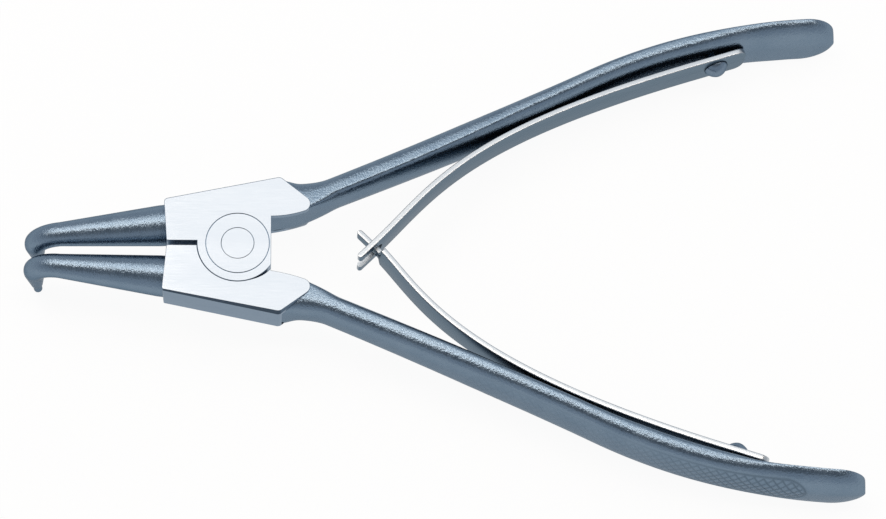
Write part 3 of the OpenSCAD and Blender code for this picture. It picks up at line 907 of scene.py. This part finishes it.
pin = pivot_rivet("flush_pivot_rivet")
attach(pin, "lower_half")
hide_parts("pivot_rivet")


# Floor, light and camera.  Share of white that the eye and the metal see in the
# paper, the size of its tooth, and the floor's slope, clearance and reach
PAPER_WHITE, TOOTH_MM = 0.93, 1.2
FLOOR_SLOPE, FLOOR_GAP, FLOOR_REACH, FLOOR_POINTS = 0.0558, 0.02, 2500.0, 5
# Brightness of the studio's walls and ceiling, and the heights between which one
# gives way to the other
WALLS, CEILING, WALLS_TO, CEILING_FROM = 0.75, 0.27, 0.5, 0.75
WARM_WHITE = "#FFEDDC"


def floor_material():
    """Matt white paper that shows near white to the eye and in reflections, and
    still takes the shadow."""
    made, tree = new_material("matt_white_paper")
    path = add(tree, "ShaderNodeLightPath").outputs
    seen = path["Is Camera Ray"]
    for ray in ("Is Glossy Ray", "Is Transmission Ray"):
        seen = add(tree, "ShaderNodeMath", {0: seen, 1: path[ray]}, operation="MAXIMUM").outputs[0]
    share = add(tree, "ShaderNodeMath", {0: seen, 1: PAPER_WHITE}, operation="MULTIPLY").outputs[0]
    where = add(tree, "ShaderNodeTexCoord").outputs["Object"]
    tooth = add(tree, "ShaderNodeTexNoise",
                {"Vector": where, "Scale": per_mm(TOOTH_MM), "Detail": 2.0}).outputs["Fac"]
    tone = add(tree, "ShaderNodeMix", {0: tooth, 6: linear("#EDEDED"), 7: linear("#F1F1F1")},
               data_type="RGBA").outputs[2]
    matt = add(tree, "ShaderNodeBsdfDiffuse", {"Color": tone}).outputs[0]
    glow = add(tree, "ShaderNodeEmission", {"Color": linear("#FFFFFF"), "Strength": 1.0}).outputs[0]
    both = add(tree, "ShaderNodeMixShader", {0: share, 1: matt, 2: glow}).outputs[0]
    add(tree, "ShaderNodeOutputMaterial", {"Surface": both})
    return made


def floor_sheet():
    """Floor through the tips and the handle ends: z = low + (x - x_tip) * slope."""
    low = MID_Z - TIP_DROP - FLOOR_GAP
    run = np.linspace(-FLOOR_REACH, FLOOR_REACH, FLOOR_POINTS)
    x, y = np.meshgrid(run, run, indexing="ij")
    points = np.stack([x, y, low + (x - JAW_TIP[0]) * FLOOR_SLOPE], -1).reshape(-1, 3)
    n = np.arange(FLOOR_POINTS ** 2).reshape(FLOOR_POINTS, FLOOR_POINTS)
    faces = np.stack([n[:-1, :-1], n[1:, :-1], n[1:, 1:], n[:-1, 1:]], -1).reshape(-1, 4)
    mesh = bpy.data.meshes.new("paper_floor")
    mesh.from_pydata((points * MM).tolist(), [], faces.tolist())
    mesh.materials.append(floor_material())
    sheet = bpy.data.objects.new("paper_floor", mesh)
    bpy.context.scene.collection.objects.link(sheet)
    return sheet


floor_sheet()


def studio_world():
    """A plain studio: pale walls, and a dark ceiling between them and the softbox."""
    world = bpy.data.worlds.new("studio")
    world.use_nodes = True
    tree = world.node_tree
    tree.nodes.clear()
    where = add(tree, "ShaderNodeTexCoord").outputs["Generated"]
    height = add(tree, "ShaderNodeSeparateXYZ", {0: where}).outputs["Z"]
    level = add(tree, "ShaderNodeMapRange",
                {"Value": height, "From Min": WALLS_TO, "From Max": CEILING_FROM,
                 "To Min": WALLS, "To Max": CEILING}).outputs[0]
    back = add(tree, "ShaderNodeBackground",
               {"Color": linear("#F4F8FF"), "Strength": level}).outputs[0]
    add(tree, "ShaderNodeOutputWorld", {"Surface": back})
    bpy.context.scene.world = world


def softbox(name, place, aim, size, level, colour="#FFFFFF"):
    """Area lamp facing a point, sizes in metres, of the given brightness in
    picture values: its power is pi * brightness * area."""
    lamp = bpy.data.lights.new(name, "AREA")
    lamp.shape = "RECTANGLE"
    lamp.size, lamp.size_y = size
    lamp.energy = level * math.pi * size[0] * size[1]
    lamp.color = linear(colour)[:3]
    made = bpy.data.objects.new(name, lamp)
    made.location = place
    made.rotation_euler = (Vector(aim) - Vector(place)).to_track_quat("-Z", "Y").to_euler()
    bpy.context.scene.collection.objects.link(made)


studio_world()
softbox("overhead_softbox", place=(0.04, 0.254, 0.598), aim=(0.04, 0.0, 0.0),
        size=(1.0, 0.5), level=1.08)
softbox("front_strip", place=(0.04, 0.048, 0.577), aim=(0.04, 0.0, 0.0),
        size=(1.0, 0.09), level=5.2, colour=WARM_WHITE)
softbox("jaw_softbox", place=(-0.22, 0.265, 0.545), aim=(-0.03, 0.0, 0.0),
        size=(0.2, 0.36), level=3.1, colour=WARM_WHITE)

# The pliers rest on their tips and handle ends, so the table's upright leans in
# their own frame.  Target and distance are in metres
LEAN, TILT, ROLL = math.radians(3.55), math.radians(20.2), math.radians(-0.85)
TARGET = Vector((0.04212, -0.00144, -0.005))
DISTANCE, FOCUS_PX, WIDTH_PX, SENSOR_MM = 0.560, 4.86 * 560, 886, 36.0
level_x = Vector((math.cos(LEAN), 0, math.sin(LEAN)))
upright = Vector((-math.sin(LEAN), 0, math.cos(LEAN)))
right = math.cos(ROLL) * level_x + math.sin(ROLL) * Vector((0, 1, 0))
ahead = -math.sin(ROLL) * level_x + math.cos(ROLL) * Vector((0, 1, 0))
back = -math.sin(TILT) * ahead + math.cos(TILT) * upright
facing = Matrix((right, back.cross(right), back)).transposed().to_4x4()
lens = bpy.data.cameras.new("camera")
lens.sensor_fit = "HORIZONTAL"
lens.sensor_width = SENSOR_MM
lens.lens = SENSOR_MM * FOCUS_PX / WIDTH_PX
lens.clip_start = 0.01
camera = bpy.data.objects.new("camera", lens)
camera.matrix_world = Matrix.Translation(TARGET + back * DISTANCE) @ facing
bpy.context.scene.collection.objects.link(camera)
bpy.context.scene.camera = camera
bpy.context.scene.view_settings.view_transform = "Standard"

bpy.context.view_layer.update()
